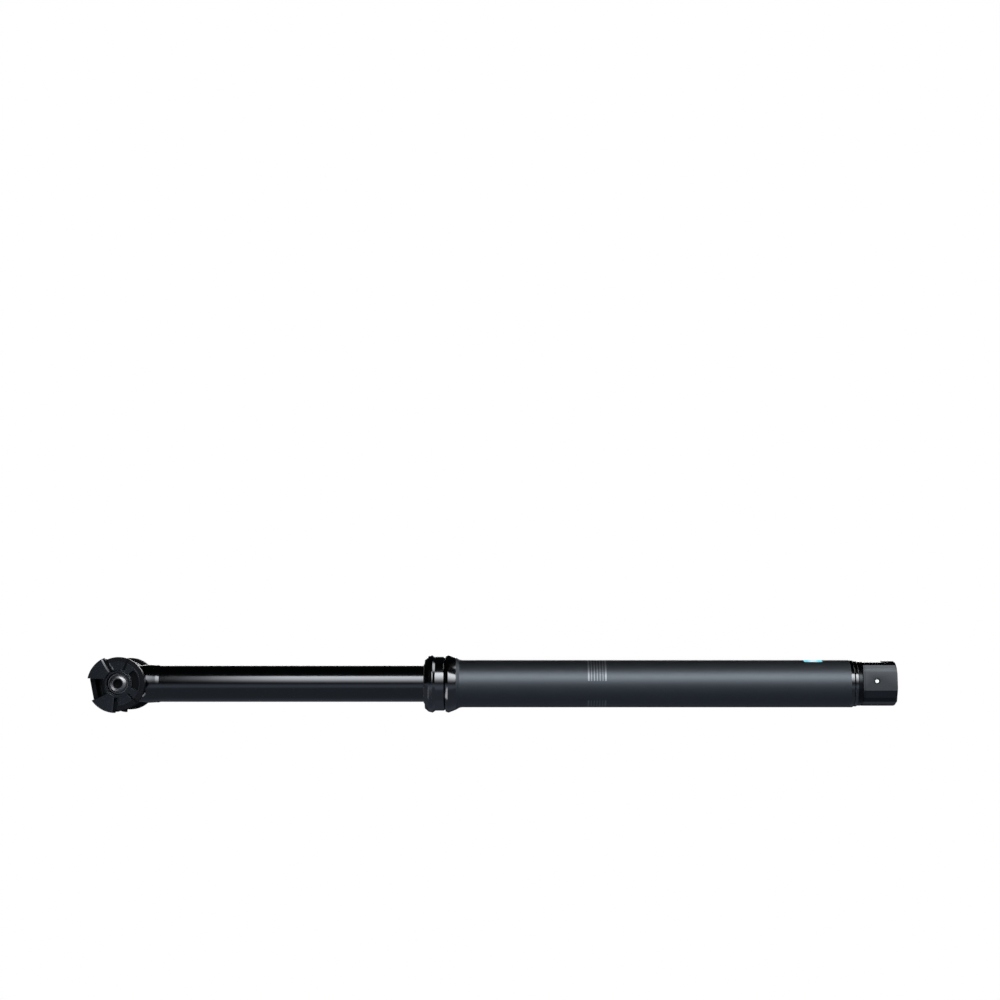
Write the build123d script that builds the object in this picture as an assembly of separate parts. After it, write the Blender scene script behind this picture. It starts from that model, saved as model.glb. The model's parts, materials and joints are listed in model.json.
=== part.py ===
"""Dropper seatpost with a gas cartridge, a side-clamping saddle head and a cable actuator in its foot.

The post stands as it does in a frame. Z is its axis, with the saddle end up, +X is forward, and +Y is
the side that carries the head of the clamp bolt. The origin is on the axis, at the underside of the
flared collar, where the straight mast that a frame holds begins. All lengths are in millimetres.
"""

import os
from math import radians, tan

from build123d import *

# Running, seated and free clearances, and how far a cutter runs past what it cuts
run_gap = 0.05
seat_gap = 0.02
free_gap = 0.3
overrun = 1.0

# Layers from the axis out, which bring the mast to the 31.6 mm that seat tubes take
rod_r = 4.0
piston_width = 4.0
cartridge_wall = 1.4
cartridge_space = 1.1
stanchion_wall = 1.65
bush_space = 1.35
mast_wall = 2.3

# Mast, the outer tube that the frame holds, and how far the stanchion slides in it
mast_end_chamfer = 0.5
travel = 170.0

# Flared collar at the top of the mast: how far it stands out from the mast, and heights above the origin
flare_root_out = 0.35
flare_root_h = 1.7
flare_out = 1.65
flare_h = 4.0
collar_ridge_out = 3.7
collar_ridge_h = 9.2
collar_rim_out = 2.7
collar_h = 11.0
collar_round = 0.9
nut_thread_wall = 1.5
nut_thread_len = 9.0

# Collar nut: how far it stands out from the mast, and heights above the collar's rim
nut_foot_out = 1.5
nut_foot_h = 0.5
nut_waist_out = 2.25
nut_waist_h = 5.3
nut_ridge_out = 3.6
nut_ridge_h = 9.1
nut_shoulder_out = 2.55
nut_shoulder_h = 11.8
nut_h = 13.8
nut_top_out = 0.8
nut_round = 1.1
nut_flat_depth = 0.7
nut_flats = 6
nut_flat_turn = 35.0

# Wiper and seal inside the collar nut
wiper_wall = 2.45
wiper_h = 4.3
wiper_lip = 0.8
wiper_lip_wall = 0.75
wiper_relief = 0.7
seal_section_d = 2.1
seal_h = 5.0
seal_groove_h = 2.5

# Stanchion, the tube that slides
stanchion_above_nut = 7.2

# Bushes, bumpers and keys between the two tubes
upper_bush_len = 26.0
lower_bush_len = 18.0
lower_bush_recess = 0.4
bush_slit_w = 1.2
bush_slit_slant = 20.0
bumper_h = 4.0
bottom_bumper_h = 4.5
bottom_gap = 0.5
bumper_wall = 1.0
key_count = 3
key_w = 3.0
key_len = 21.0
key_above_bush = 4.7
key_seat_depth = 0.75
keyway_depth = 1.15
key_tip_gap = 0.12

# Foot, the actuator housing screwed into the lower end of the mast, with heights above its end
foot_turn = 7.5
foot_in = 1.05
foot_len = 25.9
end_ring_in = 0.55
end_ring_h = 2.5
end_ring_chamfer = 0.4
foot_spigot_len = 15.0
foot_lip_out = 0.2
foot_lip_shift = 0.3
foot_lip_h = 9.2
foot_round = 1.6
foot_flat_depth = 2.05
foot_flat_h = 23.6
foot_flat_round = 1.2
chamber_floor_h = 5.8
chamber_h = 17.6
chamber_w = 7.8
chamber_back = 7.2
lever_t = 7.0
lever_pivot_h = 13.7
lever_boss_r = 3.2
lever_nose_x = 4.0
lever_nose_z = 3.0
lever_nose_r = 1.5
cable_inset = 6.75
lever_end_r = 4.0
pivot_pin_r = 1.25
pivot_recess_r = 2.3
pivot_recess_depth = 0.4
barrel_r = 2.5
wire_hole_r = 0.9
barrel_screw_r = 1.5
barrel_screw_len = 3.0
barrel_screw_socket = 1.5
stop_bore_r = 3.05
stop_bore_len = 4.6
stop_wall = 0.9
stop_flange_h = 0.8
stop_flange_w = 0.8
wire_mouth_r = 1.3

# Release pin that the lever lifts, and the lock cartridge
push_head_r = 5.0
push_head_h = 2.0
push_rod_r = 1.5
rod_bore_gap = 0.1
seal_head_len = 14.0
seal_head_nose = 6.0
piston_len = 10.0
piston_above_nose = 6.0
piston_ring_d = 0.9
float_len = 12.0
float_lift_share = 0.25
float_end_gap = 5.5
cartridge_cap_len = 12.0
cartridge_cap_nose = 4.0
gas_valve_r = 3.0
gas_valve_h = 9.0
gas_valve_pin_r = 0.8
gas_valve_mouth = 2.0

# Post head, bonded on the stanchion
ferrule_out = 0.7
ferrule_taper_h = 2.7
ferrule_h = 8.6
head_spigot_len = 20.0
head_spigot_wall = 3.3
head_void_above = 6.0
hub_rise = 24.4
hub_r = 15.75
hub_w = 17.0
hub_round = 1.0
neck_len_x = 24.0
neck_round = 5.0
neck_below_hub = 10.4
cross_bore_r = 9.0

# Saddle clamp, drawn upright about the bolt's axis and then tilted forward
clamp_tilt = 11.5
rail_d = 7.0
rail_gap = 0.05
rail_spread = 44.0
rail_rise = 12.0
jaw_gap = 1.0
inner_disc_r = 10.6
inner_cap_u = 18.6
inner_block_low_u = 5.0
inner_block_r = 19.1
inner_round = 0.8
pilot_r = 7.5
pilot_len = 4.5
pilot_gap = 0.3
inner_mid_gap = 1.0
ear_r = 17.5
ear_t = 6.0
lobe_r = 19.0
lobe_rise = 1.5
notch_bottom_u = 8.8
notch_bottom_half = 4.7
notch_top_half = 8.1
notch_top_u = 21.5
hub_plate_af = 17.4
hub_plate_h = 0.9
slot_angle = 72.0
slot_w = 2.3
slot_depth = 2.2
rib_slot_angle = 124.0
rib_slot_w = 1.5
rib_slot_depth = 1.6
pocket_in_r = 9.4
pocket_out_r = 13.8
pocket_half_angle = 30.0
pocket_depth = 3.0
rim_step_r = 14.6
rim_step_depth = 0.9
ear_round = 0.5

# Clamp bolt, its nut and washers
bolt_r = 4.0
bolt_head_r = 6.5
bolt_head_h = 4.2
bolt_socket_af = 6.0
bolt_socket_depth = 5.0
bolt_socket_land = 0.9
bolt_clear = 0.3
washer_t = 1.0
washer_r = 7.0
recess_r = 7.3
recess_floor_t = 1.5
nut_sleeve_r = 5.2
nut_sleeve_len = 7.5
bolt_end_margin = 1.2

# Sizes worked out from the ones above
cartridge_bore_r = rod_r + piston_width
cartridge_r = cartridge_bore_r + cartridge_wall
stanchion_bore_r = cartridge_r + cartridge_space
stanchion_r = stanchion_bore_r + stanchion_wall
mast_bore_r = stanchion_r + bush_space
mast_r = mast_bore_r + mast_wall
nut_thread_r = mast_bore_r + nut_thread_wall
nut_waist_r = mast_r + nut_waist_out
nut_flat_r = nut_waist_r - nut_flat_depth
wiper_r = stanchion_r + wiper_wall
ferrule_r = stanchion_r + ferrule_out
end_ring_r = mast_r - end_ring_in
foot_r = mast_r - foot_in
foot_flat_y = foot_r - foot_flat_depth
lever_arm = foot_r - cable_inset
nut_base_z = collar_h
nut_top_z = nut_base_z + nut_h
nut_thread_base_z = collar_h - nut_thread_len
upper_bush_low_z = nut_thread_base_z - upper_bush_len
top_bumper_low_z = upper_bush_low_z - bumper_h
key_top_z = top_bumper_low_z - free_gap
key_low_z = key_top_z - key_len
key_floor_r = stanchion_r - key_seat_depth
key_tip_r = mast_bore_r + keyway_depth - key_tip_gap
stanchion_top_z = nut_top_z + travel + stanchion_above_nut
stanchion_low_z = key_low_z - key_above_bush - lower_bush_len
spigot_top_z = stanchion_low_z - travel - bottom_gap - bottom_bumper_h
mast_low_z = spigot_top_z - foot_spigot_len
foot_top_z = mast_low_z - end_ring_h
foot_low_z = foot_top_z - foot_len
chamber_floor_z = foot_low_z + chamber_floor_h
chamber_top_z = chamber_floor_z + chamber_h
pivot_z = foot_low_z + lever_pivot_h
push_head_z = pivot_z + lever_nose_z + lever_nose_r + run_gap
cartridge_low_z = stanchion_low_z + seal_head_len
piston_low_z = cartridge_low_z + seal_head_nose + piston_above_nose
piston_top_z = piston_low_z + piston_len
cap_top_z = stanchion_top_z - head_spigot_len
cap_low_z = cap_top_z - cartridge_cap_len
float_top_z = cap_low_z - cartridge_cap_nose - float_end_gap - travel * float_lift_share
float_low_z = float_top_z - float_len
hub_z = stanchion_top_z + hub_rise
rail_y = rail_spread / 2
ear_in_y = rail_y + jaw_gap / 2
inner_out_y = rail_y - jaw_gap / 2
ear_out_y = ear_in_y + ear_t
hub_plate_y = ear_out_y + hub_plate_h
recess_floor_y = ear_in_y + recess_floor_t
head_base_y = recess_floor_y + washer_t
groove_r = rail_d / 2 + rail_gap

UP = (Align.CENTER, Align.CENTER, Align.MIN)


def turned(points, rounds=None):
    """Turn a closed outline of radius and height about the post's axis."""
    if rounds is None:
        outline = Polyline(*points, close=True)
    else:
        outline = FilletPolyline(*points, radius=rounds, close=True)
    return revolve(Plane.XZ * make_face(outline), axis=Axis.Z)


def rod(radius, low, high):
    """A round bar along the post's axis."""
    return Pos(0, 0, low) * Cylinder(radius, high - low, align=UP)


def pipe(outer, inner, low, high):
    """A plain tube along the post's axis."""
    return rod(outer, low, high) - rod(inner, low - overrun, high + overrun)


def slab(outline, low, high):
    """A plate whose outline is drawn in X and Z, from one Y to another."""
    return Pos(0, low, 0) * extrude(Plane.XZ * outline, amount=low - high)


def cross_rod(radius, low, high, x=0, z=0):
    """A round bar along Y."""
    return slab(Pos(x, z) * Circle(radius), low, high)


def mirrored(shape):
    """The same piece on the other side of the post."""
    return mirror(shape, about=Plane.XZ)


def in_clamp(shape):
    """Put a clamp piece, drawn upright about the bolt's axis, in its place on the head."""
    return Pos(0, 0, hub_z) * Rot(0, clamp_tilt, 0) * shape


def in_foot(shape):
    """Turn a foot piece to the angle at which the foot is screwed home."""
    return Rot(0, 0, foot_turn) * shape


def wedge(half_angle, height):
    """A triangle that opens upwards from the origin."""
    half_width = height * tan(radians(half_angle))
    return make_face(Polyline((0, 0), (half_width, height), (-half_width, height), close=True))


def split_bush(outer, inner, low, high):
    """A plain bearing bush with a slanted slit, so that it can be sprung into place."""
    length = high - low
    slit = Box(outer + overrun, bush_slit_w, 2 * length, align=(Align.MIN, Align.CENTER, Align.CENTER))
    return pipe(outer, inner, low, high) - Pos(0, 0, low + length / 2) * Rot(bush_slit_slant, 0, 0) * slit


def seal_ring(inner_r, section_d, z):
    """A square-section sealing ring about the post's axis."""
    half = section_d / 2
    return pipe(inner_r + section_d, inner_r, z - half, z + half)


def mast():
    """Outer tube with its flared collar, the nut's counterbore and the keyways."""
    thread_r = nut_thread_r + seat_gap
    points = [
        (mast_bore_r, mast_low_z),
        (mast_r - mast_end_chamfer, mast_low_z),
        (mast_r, mast_low_z + mast_end_chamfer),
        (mast_r, 0),
        (mast_r + flare_root_out, flare_root_h),
        (mast_r + flare_out, flare_h),
        (mast_r + collar_ridge_out, collar_ridge_h),
        (mast_r + collar_rim_out, collar_h),
        (thread_r, collar_h),
        (thread_r, nut_thread_base_z),
        (mast_bore_r, nut_thread_base_z),
    ]
    rounds = [0, 0, 0, 0, collar_round, 0, collar_round, 0, 0, 0, 0]
    tube = turned(points, rounds)
    keyway_low_z = key_low_z - travel - bumper_h
    keyway_len = top_bumper_low_z - keyway_low_z
    depth = mast_bore_r + keyway_depth
    keyway = Box(depth, key_w + 2 * run_gap, keyway_len, align=(Align.MIN, Align.CENTER, Align.MIN))
    for index in range(key_count):
        tube -= Pos(0, 0, keyway_low_z) * Rot(0, 0, index * 360 / key_count) * keyway
    return tube


def collar_nut():
    """Nut with spanner flats round its waist, holding the wiper and the seal."""
    inner_r = stanchion_r + free_gap
    groove_r_out = inner_r - free_gap + run_gap + seal_section_d
    groove_low = nut_base_z + seal_h - seal_groove_h / 2
    groove_high = groove_low + seal_groove_h
    points = [
        (inner_r, nut_thread_base_z),
        (nut_thread_r, nut_thread_base_z),
        (nut_thread_r, nut_base_z),
        (mast_r + nut_foot_out, nut_base_z),
        (nut_waist_r, nut_base_z + nut_foot_h),
        (nut_waist_r, nut_base_z + nut_waist_h),
        (mast_r + nut_ridge_out, nut_base_z + nut_ridge_h),
        (mast_r + nut_shoulder_out, nut_base_z + nut_shoulder_h),
        (mast_r + nut_top_out, nut_top_z),
        (wiper_r, nut_top_z),
        (wiper_r, nut_top_z - wiper_h),
        (inner_r, nut_top_z - wiper_h),
        (inner_r, groove_high),
        (groove_r_out, groove_high),
        (groove_r_out, groove_low),
        (inner_r, groove_low),
    ]
    rounds = [0, 0, 0, 0, 0, nut_round, nut_round, nut_round, nut_round / 2, 0, 0, 0, 0, 0, 0, 0]
    nut = turned(points, rounds)
    flat = Box(mast_r, 2 * mast_r, nut_waist_h - nut_foot_h, align=(Align.MIN, Align.CENTER, Align.MIN))
    for index in range(nut_flats):
        turn = nut_flat_turn + index * 360 / nut_flats
        nut -= Rot(0, 0, turn) * Pos(nut_flat_r, 0, nut_base_z + nut_foot_h) * flat
    return nut


def wiper():
    """Rubber wiper with a raised lip round the stanchion."""
    inner_r = stanchion_r + run_gap
    outer_r = wiper_r - seat_gap
    low = nut_top_z - wiper_h
    lip_top = nut_top_z + wiper_lip
    return turned([
        (inner_r + wiper_relief, low),
        (outer_r, low),
        (outer_r, nut_top_z),
        (inner_r + 2 * wiper_lip_wall, nut_top_z),
        (inner_r + wiper_lip_wall, lip_top),
        (inner_r, lip_top),
        (inner_r, nut_top_z),
        (inner_r + wiper_relief, nut_top_z - wiper_h / 2),
    ])


def stanchion():
    """Sliding tube with seats for the keys and a recess for the lower bush."""
    tube = pipe(stanchion_r, stanchion_bore_r, stanchion_low_z, stanchion_top_z)
    recess_r = stanchion_r - lower_bush_recess
    bush_top = stanchion_low_z + lower_bush_len
    tube -= pipe(stanchion_r + overrun, recess_r, stanchion_low_z - overrun, bush_top + seat_gap)
    seat_w = key_w + 2 * seat_gap
    seat = Box(mast_r, seat_w, key_len + 2 * seat_gap, align=(Align.MIN, Align.CENTER, Align.MIN))
    for index in range(key_count):
        place = Rot(0, 0, index * 360 / key_count) * Pos(key_floor_r, 0, key_low_z - seat_gap)
        tube -= place * seat
    return tube


def keys():
    """Three brass keys that stop the stanchion turning in the mast."""
    low_r = key_floor_r + seat_gap
    key = Box(key_tip_r - low_r, key_w, key_len, align=(Align.MIN, Align.CENTER, Align.MIN))
    key = chamfer(key.edges().filter_by(Axis.Y).sort_by(Axis.X)[-2:], key_w / 6)
    return Compound([
        Rot(0, 0, index * 360 / key_count) * Pos(low_r, 0, key_low_z) * key
        for index in range(key_count)
    ])


def post_head():
    """Forged head with its ferrule, the spigot in the stanchion and the hub for the clamp."""
    spigot_r = stanchion_bore_r - seat_gap
    void_r = spigot_r - head_spigot_wall
    base = turned([
        (0, cap_top_z),
        (spigot_r, cap_top_z),
        (spigot_r, stanchion_top_z),
        (stanchion_r, stanchion_top_z),
        (ferrule_r, stanchion_top_z + ferrule_taper_h),
        (ferrule_r, stanchion_top_z + ferrule_h),
        (0, stanchion_top_z + ferrule_h),
    ])
    neck_low = stanchion_top_z + ferrule_h
    neck_high = hub_z - neck_below_hub
    neck = loft([
        Pos(0, 0, neck_low) * Circle(ferrule_r),
        Pos(0, 0, neck_high) * RectangleRounded(neck_len_x, hub_w, neck_round),
    ])
    hub = cross_rod(hub_r, -hub_w / 2, hub_w / 2, z=hub_z)
    hub = fillet(hub.edges().filter_by(GeomType.CIRCLE), hub_round)
    core = extrude(Pos(0, 0, neck_high) * RectangleRounded(neck_len_x, hub_w, neck_round), amount=hub_round)
    head = base + neck + (core & cross_rod(hub_r + hub_round, -hub_w / 2, hub_w / 2, z=hub_z)) + hub
    head -= cross_rod(cross_bore_r, -hub_w, hub_w, z=hub_z)
    head -= rod(void_r, cap_top_z - overrun, stanchion_top_z + head_void_above)
    return head


def inner_jaw():
    """Inner half of one rail jaw, with a spigot that turns in the hub."""
    near_y = hub_w / 2 + free_gap
    disc = cross_rod(inner_disc_r, near_y, inner_out_y)
    spigot = cross_rod(cross_bore_r - run_gap, inner_mid_gap / 2, near_y)
    outline = make_face(Polyline(
        (-inner_block_r, inner_block_low_u),
        (inner_block_r, inner_block_low_u),
        (inner_block_r, inner_cap_u),
        (-inner_block_r, inner_cap_u),
        close=True,
    )) & Pos(0, lobe_rise) * Circle(inner_block_r - lobe_rise / 2)
    outline = fillet(outline.vertices(), inner_round)
    block = slab(outline, near_y, inner_out_y)
    jaw = disc + block + spigot
    jaw -= Pos(0, rail_y, rail_rise) * Rot(0, 90, 0) * Cylinder(groove_r, 4 * inner_block_r)
    jaw -= cross_rod(pilot_r + pilot_gap, inner_out_y - pilot_len - free_gap, inner_out_y + overrun)
    jaw -= cross_rod(bolt_r + bolt_clear, 0, inner_out_y + overrun)
    return jaw


def ear_outline():
    """Side outline of an outer jaw: a round body, two lobes and the notch between them."""
    lobes = (Pos(0, lobe_rise) * Circle(lobe_r)) & wedge(slot_angle, 2 * lobe_r)
    notch = make_face(Polyline(
        (-notch_bottom_half, notch_bottom_u),
        (notch_bottom_half, notch_bottom_u),
        (notch_top_half, notch_top_u),
        (-notch_top_half, notch_top_u),
        close=True,
    ))
    return Circle(ear_r) + lobes - notch


def radial_slot(angle, width, depth, start_r):
    """A straight groove in the outer face of a jaw, running out from the hub plate."""
    reach = 2 * lobe_r
    cutter = Box(width, depth + overrun, reach, align=(Align.CENTER, Align.MIN, Align.MIN))
    return Rot(0, angle, 0) * Pos(0, ear_out_y - depth, start_r) * cutter


def outer_jaw(hole_r):
    """Outer half of one rail jaw: lobes over the rail, hub plate, slots, pocket and stepped rim."""
    jaw = slab(ear_outline(), ear_in_y, ear_out_y)
    jaw = chamfer(jaw.faces().sort_by(Axis.Y)[-1].edges(), ear_round)
    ring = Circle(2 * ear_r) - Circle(rim_step_r)
    below_lobes = ring - wedge(slot_angle, 4 * ear_r)
    jaw -= slab(below_lobes, ear_out_y - rim_step_depth, ear_out_y + overrun)
    for side in (-1, 1):
        jaw -= radial_slot(side * slot_angle, slot_w, slot_depth, pocket_in_r)
        jaw -= radial_slot(side * rib_slot_angle, rib_slot_w, rib_slot_depth, pocket_in_r)
    sector = Rot(0, 0, 180) * wedge(pocket_half_angle, 2 * pocket_out_r)
    pocket = (Circle(pocket_out_r) - Circle(pocket_in_r)) & sector
    jaw -= slab(pocket, ear_out_y - pocket_depth, ear_out_y + overrun)
    plate = RegularPolygon(hub_plate_af / 2, 8, major_radius=False, rotation=360 / 16)
    plate = slab(plate, ear_in_y, hub_plate_y)
    jaw += chamfer(plate.faces().sort_by(Axis.Y)[-1].edges(), ear_round)
    jaw += cross_rod(pilot_r, ear_in_y - pilot_len, ear_in_y)
    jaw -= cross_rod(recess_r, recess_floor_y, hub_plate_y + overrun)
    jaw -= cross_rod(hole_r, ear_in_y - pilot_len - overrun, recess_floor_y + overrun)
    jaw -= Pos(0, rail_y, rail_rise) * Rot(0, 90, 0) * Cylinder(groove_r, 4 * lobe_r)
    return jaw


def clamp_bolt():
    """Socket-head bolt across the clamp."""
    head_top = head_base_y + bolt_head_h
    head = cross_rod(bolt_head_r, head_base_y, head_top)
    head = chamfer(head.edges().filter_by(GeomType.CIRCLE).sort_by(Axis.Y)[-1], bolt_head_r / 10)
    shank = cross_rod(bolt_r - run_gap, -hub_plate_y + bolt_end_margin, head_base_y)
    socket = RegularPolygon(bolt_socket_af / 2, 6, major_radius=False)
    bolt = head + shank - slab(socket, head_top - bolt_socket_depth, head_top + overrun)
    mouth_r = bolt_socket_af / 2 + bolt_socket_land
    mouth = cross_rod(mouth_r, head_top - bolt_socket_land / 2, head_top + overrun)
    return bolt - mouth


def clamp_nut():
    """Sleeve nut on the far side, with the same round head as the bolt and a long thread."""
    head_top = head_base_y + bolt_head_h
    head = cross_rod(bolt_head_r, head_base_y, head_top)
    head = chamfer(head.edges().filter_by(GeomType.CIRCLE).sort_by(Axis.Y)[-1], bolt_head_r / 10)
    sleeve = cross_rod(nut_sleeve_r, head_base_y - nut_sleeve_len, head_base_y)
    nut = head + sleeve - cross_rod(bolt_r, head_base_y - nut_sleeve_len - overrun, head_top + overrun)
    return mirrored(nut)


def washer(hole_r):
    """Washer in the recess of an outer jaw."""
    disc = cross_rod(washer_r, recess_floor_y, head_base_y)
    return disc - cross_rod(hole_r, recess_floor_y - overrun, head_base_y + overrun)


def foot_housing():
    """Actuator housing: spigot in the mast, spanner flats, the lever's chamber and the cable inlet."""
    spigot_r = mast_bore_r - seat_gap
    body = turned([
        (0, foot_low_z),
        (foot_r, foot_low_z),
        (foot_r, foot_top_z),
        (spigot_r, foot_top_z),
        (spigot_r, spigot_top_z),
        (0, spigot_top_z),
    ])
    lip = Pos(-foot_lip_shift, 0, 0) * rod(foot_r + foot_lip_out, foot_low_z, foot_low_z + foot_lip_h)
    body += lip
    body = fillet(body.edges().filter_by(GeomType.CIRCLE).group_by(Axis.Z)[0], foot_round)
    flat = Box(4 * foot_r, foot_r, foot_flat_h + overrun, align=(Align.CENTER, Align.MIN, Align.MIN))
    flat = fillet(flat.edges().filter_by(Axis.X).sort_by(Axis.Y)[:2].sort_by(Axis.Z)[-1], foot_flat_round)
    for side in (0, 180):
        body -= Rot(0, 0, side) * Pos(0, foot_flat_y, foot_low_z - overrun) * flat
        body -= Rot(0, 0, side) * cross_rod(
            pivot_recess_r, foot_flat_y - pivot_recess_depth, foot_flat_y + overrun, z=pivot_z)
    chamber = Box(
        chamber_back + foot_r + overrun, chamber_w, chamber_h,
        align=(Align.MIN, Align.CENTER, Align.MIN))
    body -= Pos(-chamber_back, 0, chamber_floor_z) * chamber
    body -= rod(push_head_r + free_gap, pivot_z, chamber_top_z)
    body -= rod(rod_r + seat_gap, chamber_top_z - overrun, spigot_top_z + overrun)
    body -= cross_rod(pivot_pin_r + seat_gap, -foot_r, foot_r, z=pivot_z)
    stop_hole_r = stop_bore_r + stop_wall + seat_gap
    body -= Pos(lever_arm, 0, 0) * rod(stop_hole_r, foot_low_z - overrun, chamber_floor_z + overrun)
    return in_foot(body)


def end_ring():
    """Bevelled ring between the mast's end and the foot."""
    return turned([
        (mast_bore_r, foot_top_z),
        (end_ring_r - end_ring_chamfer, foot_top_z),
        (end_ring_r, foot_top_z + end_ring_chamfer),
        (end_ring_r, mast_low_z - end_ring_chamfer),
        (end_ring_r - end_ring_chamfer, mast_low_z),
        (mast_bore_r, mast_low_z),
    ])


def cable_stop():
    """Insert that the end of the cable's housing seats in."""
    outer = stop_bore_r + stop_wall
    flange_low_z = foot_low_z - stop_flange_h
    stop = rod(outer, foot_low_z, chamber_floor_z) + rod(outer + stop_flange_w, flange_low_z, foot_low_z)
    stop -= rod(stop_bore_r, flange_low_z - overrun, foot_low_z + stop_bore_len)
    stop -= rod(wire_mouth_r, foot_low_z, chamber_floor_z + overrun)
    return in_foot(Pos(lever_arm, 0, 0) * stop)


def pivot_pin():
    """Pin that the lever turns on, seen as a bright dot in the flat of the foot."""
    reach = foot_flat_y - pivot_recess_depth
    return in_foot(cross_rod(pivot_pin_r, -reach, reach, z=pivot_z))


def actuator_lever():
    """Bell crank with a nose under the release pin and an eye for the cable's barrel."""
    eye = Pos(lever_arm, 0) * Circle(lever_end_r)
    boss = Circle(lever_boss_r)
    nose = Pos(-lever_nose_x, lever_nose_z) * Circle(lever_nose_r)
    outline = make_hull(eye.edges() + boss.edges()) + make_hull(nose.edges() + boss.edges())
    outline -= Circle(pivot_pin_r + run_gap)
    outline -= Pos(lever_arm, 0) * Circle(barrel_r + run_gap)
    lever = slab(outline, -lever_t / 2, lever_t / 2)
    slot_w = 2 * wire_hole_r
    wire_slot = Box(slot_w, slot_w, 2 * lever_end_r, align=(Align.CENTER, Align.CENTER, Align.MAX))
    lever -= Pos(lever_arm, 0, 0) * wire_slot
    return in_foot(Pos(0, 0, pivot_z) * lever)


def cable_barrel():
    """Barrel that pinches the inner wire, with a cross hole for it."""
    barrel = cross_rod(barrel_r, -lever_t / 2, lever_t / 2)
    barrel -= Cylinder(wire_hole_r, 4 * barrel_r)
    barrel -= cross_rod(barrel_screw_r + seat_gap, 0, lever_t)
    return in_foot(Pos(lever_arm, 0, pivot_z) * barrel)


def barrel_screw():
    """Grub screw in the end of the cable's barrel."""
    end = lever_t / 2
    screw = cross_rod(barrel_screw_r, end - barrel_screw_len + wire_hole_r, end)
    socket = RegularPolygon(barrel_screw_socket / 2, 6, major_radius=False)
    screw -= slab(socket, end - barrel_screw_socket, end + overrun)
    return in_foot(Pos(lever_arm, 0, pivot_z) * screw)


def release_pin():
    """Push rod inside the cartridge's rod, with the wide head that the lever lifts."""
    head = rod(push_head_r, push_head_z, push_head_z + push_head_h)
    return head + rod(push_rod_r, push_head_z, piston_top_z)


def cartridge_rod():
    """Hollow rod of the lock cartridge, screwed into the foot."""
    return pipe(rod_r, push_rod_r + rod_bore_gap, chamber_top_z + push_head_h, piston_top_z)


def piston():
    """Piston with a groove for its ring, on the end of the rod."""
    outer = cartridge_bore_r - run_gap
    body = pipe(outer, rod_r + seat_gap, piston_low_z, piston_top_z)
    middle = (piston_low_z + piston_top_z) / 2
    groove = pipe(
        outer + overrun, outer - piston_ring_d,
        middle - piston_ring_d / 2 - seat_gap, middle + piston_ring_d / 2 + seat_gap)
    return body - groove


def floating_piston():
    """Solid piston that parts the oil from the gas."""
    outer = cartridge_bore_r - run_gap
    body = rod(outer, float_low_z, float_top_z)
    middle = (float_low_z + float_top_z) / 2
    groove = pipe(
        outer + overrun, outer - piston_ring_d,
        middle - piston_ring_d / 2 - seat_gap, middle + piston_ring_d / 2 + seat_gap)
    dish = rod(outer / 2, float_top_z - piston_ring_d, float_top_z + overrun)
    return body - groove - dish


def cartridge_seal_head():
    """Guide for the rod, screwed into the lower end of the stanchion."""
    flange = pipe(
        stanchion_bore_r - seat_gap, rod_r + run_gap, stanchion_low_z, cartridge_low_z)
    nose = pipe(
        cartridge_bore_r - seat_gap, rod_r + run_gap, cartridge_low_z, cartridge_low_z + seal_head_nose)
    return flange + nose


def cartridge_cap():
    """Plug in the upper end of the cartridge."""
    flange = rod(stanchion_bore_r - seat_gap, cap_low_z, cap_top_z)
    nose = rod(cartridge_bore_r - seat_gap, cap_low_z - cartridge_cap_nose, cap_low_z)
    return flange + nose


def gas_valve():
    """Filling valve on the cartridge's cap."""
    top = cap_top_z + gas_valve_h
    valve = rod(gas_valve_r, cap_top_z, top)
    valve -= pipe(gas_valve_r - gas_valve_pin_r, gas_valve_pin_r, top - gas_valve_mouth, top + overrun)
    return valve


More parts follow.
